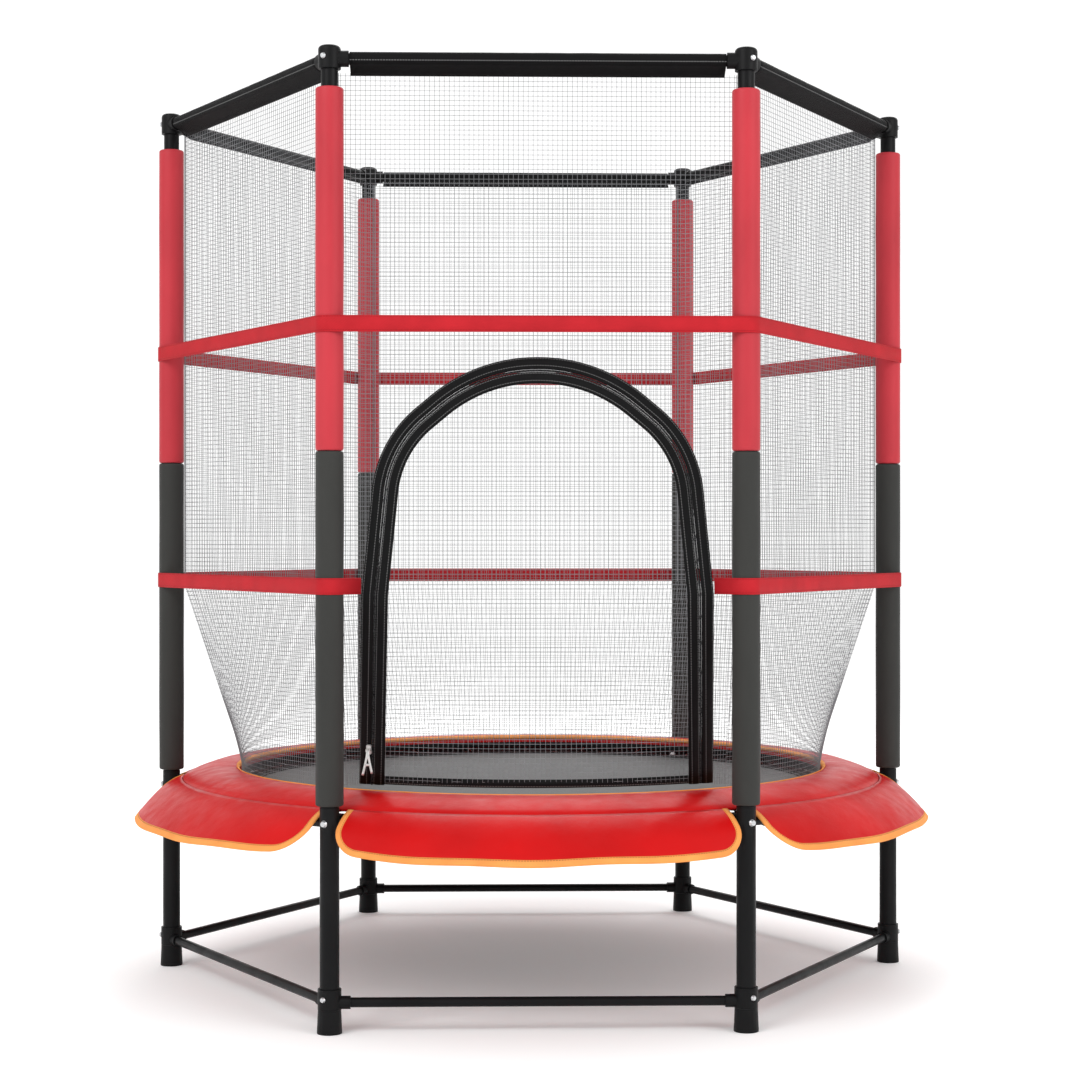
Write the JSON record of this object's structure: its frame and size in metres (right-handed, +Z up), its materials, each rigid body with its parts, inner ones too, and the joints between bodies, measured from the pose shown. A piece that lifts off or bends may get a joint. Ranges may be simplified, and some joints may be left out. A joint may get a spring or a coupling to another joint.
{
  "type": "enclosed trampoline",
  "caption": "Hexagonal enclosed child's trampoline with sprung round mat, padded posts, net walls, zipped arch door and padded edge skirt.",
  "frame": {"origin": "centre of the footprint, on the floor", "axes": "+Z up, door faces -Y, two posts on the X axis"},
  "size_m": [1.4848, 1.485, 1.6],
  "materials": {
    "tube_black": "satin black powder coat",
    "black_plastic": "moulded, satin",
    "steel": "zinc plated",
    "white_metal": "white enamel",
    "foam_black": "foam tube in matt coated cover",
    "foam_red": "foam tube in coated cover",
    "white_foam": "closed-cell foam",
    "red_cover": "coated fabric, semi gloss",
    "red_webbing": "woven webbing",
    "black_webbing": "woven webbing",
    "door_fabric": "smooth woven tape, slight shine",
    "mat_fabric": "tight woven polypropylene",
    "elastic": "braided sleeve",
    "net": "open knitted mesh"
  },
  "bodies": {
    "frame": {"leg_right": "tube_black", "pole_right": "tube_black", "leg_rear_right": "tube_black", "pole_rear_right": "tube_black", "leg_rear_left": "tube_black", "pole_rear_left": "tube_black", "leg_left": "tube_black", "pole_left": "tube_black", "leg_front_left": "tube_black", "pole_front_left": "tube_black", "leg_front_right": "tube_black", "pole_front_right": "tube_black", "crossbar_back_right": "tube_black", "ring_rail_back_right": "tube_black", "top_rail_back_right": "tube_black", "crossbar_back": "tube_black", "ring_rail_back": "tube_black", "top_rail_back": "tube_black", "crossbar_back_left": "tube_black", "ring_rail_back_left": "tube_black", "top_rail_back_left": "tube_black", "crossbar_front_left": "tube_black", "ring_rail_front_left": "tube_black", "top_rail_front_left": "tube_black", "crossbar_front": "tube_black", "ring_rail_front": "tube_black", "top_rail_front": "tube_black", "crossbar_front_right": "tube_black", "ring_rail_front_right": "tube_black", "top_rail_front_right": "tube_black", "foot_caps": "black_plastic", "lower_collars": "black_plastic", "ring_splices": "steel", "ring_saddles": "black_plastic", "ring_bolts": "steel", "ring_nuts": "steel", "small_bolts": "steel", "lower_foam_sleeves": "foam_black", "upper_foam_sleeves": "foam_red", "corner_caps": "black_plastic", "net_hem": "black_webbing", "elastic_loops": "elastic", "pad_foam": "white_foam", "pad_cover": "red_cover", "skirt_flaps": "red_cover", "upper_net": "net", "front_net": "net", "lower_net": "net", "net_ties": "black_webbing", "upper_band": "red_webbing", "lower_band": "red_webbing", "door_surround": "door_fabric", "zip_coil": "black_plastic"},
    "mat": {"mat": "mat_fabric", "mat_edge": "black_webbing", "mat_rings": "steel"},
    "door": {"door_border": "door_fabric", "door_mesh": "net"},
    "zip_slider": {"zip_slider": "white_metal"},
    "zip_pull": {"zip_pull": "white_metal"}
  },
  "joints": [
    {"name": "mat_bounce", "type": "slide", "parent": "frame", "child": "mat", "axis": [0, 0, 1], "range_m": [-0.1, 0], "stiffness_N_per_m": 4000, "springref_m": 0.02, "deforming": ["elastic_loops"]},
    {"name": "door_swing", "type": "hinge", "parent": "frame", "child": "door", "pos_m": [0.266, -0.582, 0.4], "axis": [0, 0, 1], "range_deg": [0, 100]},
    {"name": "zip_travel", "type": "slide", "parent": "frame", "child": "zip_slider", "axis": [0.0298, -0.2893, 0.9568], "range_m": [0, 0.2]},
    {"name": "pull_swing", "type": "hinge", "parent": "zip_slider", "child": "zip_pull", "pos_m": [-0.28115, -0.49615, 0.44881], "axis": [-0.9646, 0.2639, 0], "range_deg": [0, 120]}
  ]
}
